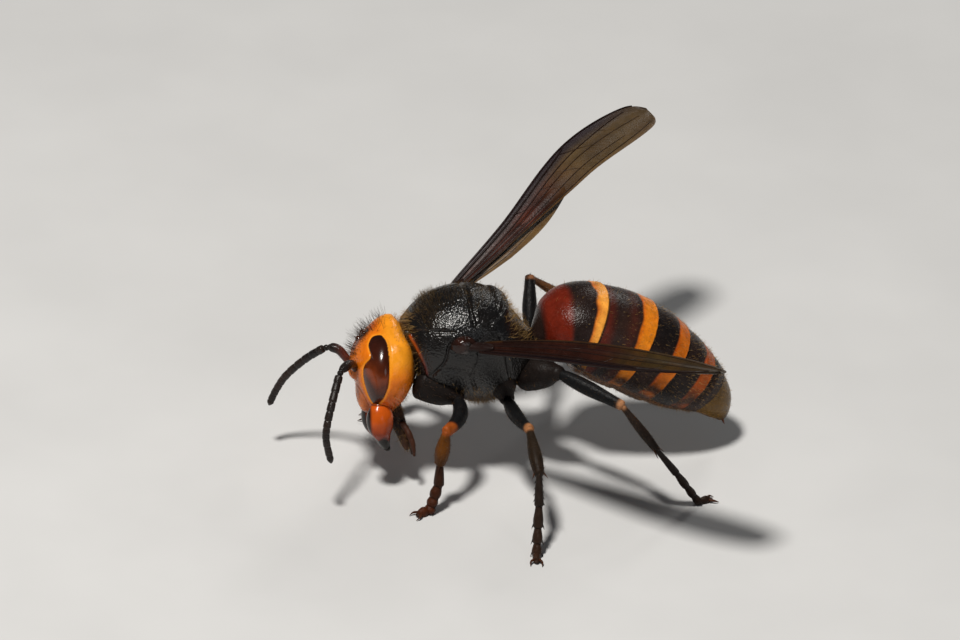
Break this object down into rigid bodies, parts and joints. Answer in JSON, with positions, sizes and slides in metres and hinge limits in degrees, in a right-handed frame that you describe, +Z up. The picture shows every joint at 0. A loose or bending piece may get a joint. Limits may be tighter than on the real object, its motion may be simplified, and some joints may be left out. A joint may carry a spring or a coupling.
{
  "type": "hornet figure",
  "caption": "Life-size still model of a dark hornet with an orange head, banded abdomen and smoky raised wings, standing on its feet.",
  "frame": {"origin": "on the floor, below the middle of the model's box", "axes": "+Z up, the head points to -X, the insect's left side is -Y"},
  "size_m": [0.0292, 0.0306, 0.0169],
  "materials": {
    "head_orange": "gloss",
    "eye_dark": "gloss",
    "mandible_red": "gloss",
    "mouth_brown": "satin",
    "antenna_dark": "satin",
    "thorax_black": "satin",
    "tegula_brown": "gloss",
    "gaster_banded": "satin",
    "gaster_tip": "satin",
    "wing_smoky": "satin",
    "leg_dark": "satin",
    "leg_brown": "satin"
  },
  "bodies": {
    "root": {"antenna_left_flagellum": "antenna_dark", "antenna_left_scape": "antenna_dark", "antenna_right_flagellum": "antenna_dark", "antenna_right_scape": "antenna_dark", "eye_left": "eye_dark", "eye_right": "eye_dark", "foreleg_left_coxa": "leg_dark", "foreleg_left_femur": "leg_dark", "foreleg_left_foot": "leg_brown", "foreleg_left_tibia": "leg_brown", "foreleg_right_coxa": "leg_dark", "foreleg_right_femur": "leg_dark", "foreleg_right_foot": "leg_brown", "foreleg_right_tibia": "leg_brown", "forewing_left": "wing_smoky", "forewing_right": "wing_smoky", "gaster_1": "gaster_banded", "gaster_2": "gaster_banded", "gaster_3": "gaster_banded", "gaster_4": "gaster_banded", "gaster_5": "gaster_banded", "gaster_6": "gaster_tip", "head": "head_orange", "hindleg_left_coxa": "leg_dark", "hindleg_left_femur": "leg_dark", "hindleg_left_foot": "leg_brown", "hindleg_left_tibia": "leg_brown", "hindleg_right_coxa": "leg_dark", "hindleg_right_femur": "leg_dark", "hindleg_right_foot": "leg_brown", "hindleg_right_tibia": "leg_brown", "hindwing_left": "wing_smoky", "hindwing_right": "wing_smoky", "mandible_left": "mandible_red", "mandible_right": "mandible_red", "mesothorax": "thorax_black", "midleg_left_coxa": "leg_dark", "midleg_left_femur": "leg_dark", "midleg_left_foot": "leg_brown", "midleg_left_tibia": "leg_brown", "midleg_right_coxa": "leg_dark", "midleg_right_femur": "leg_dark", "midleg_right_foot": "leg_brown", "midleg_right_tibia": "leg_brown", "mouthparts": "mouth_brown", "pronotum": "thorax_black", "propodeum": "thorax_black", "tegula_left": "tegula_brown", "tegula_right": "tegula_brown"}
  },
  "joints": []
}
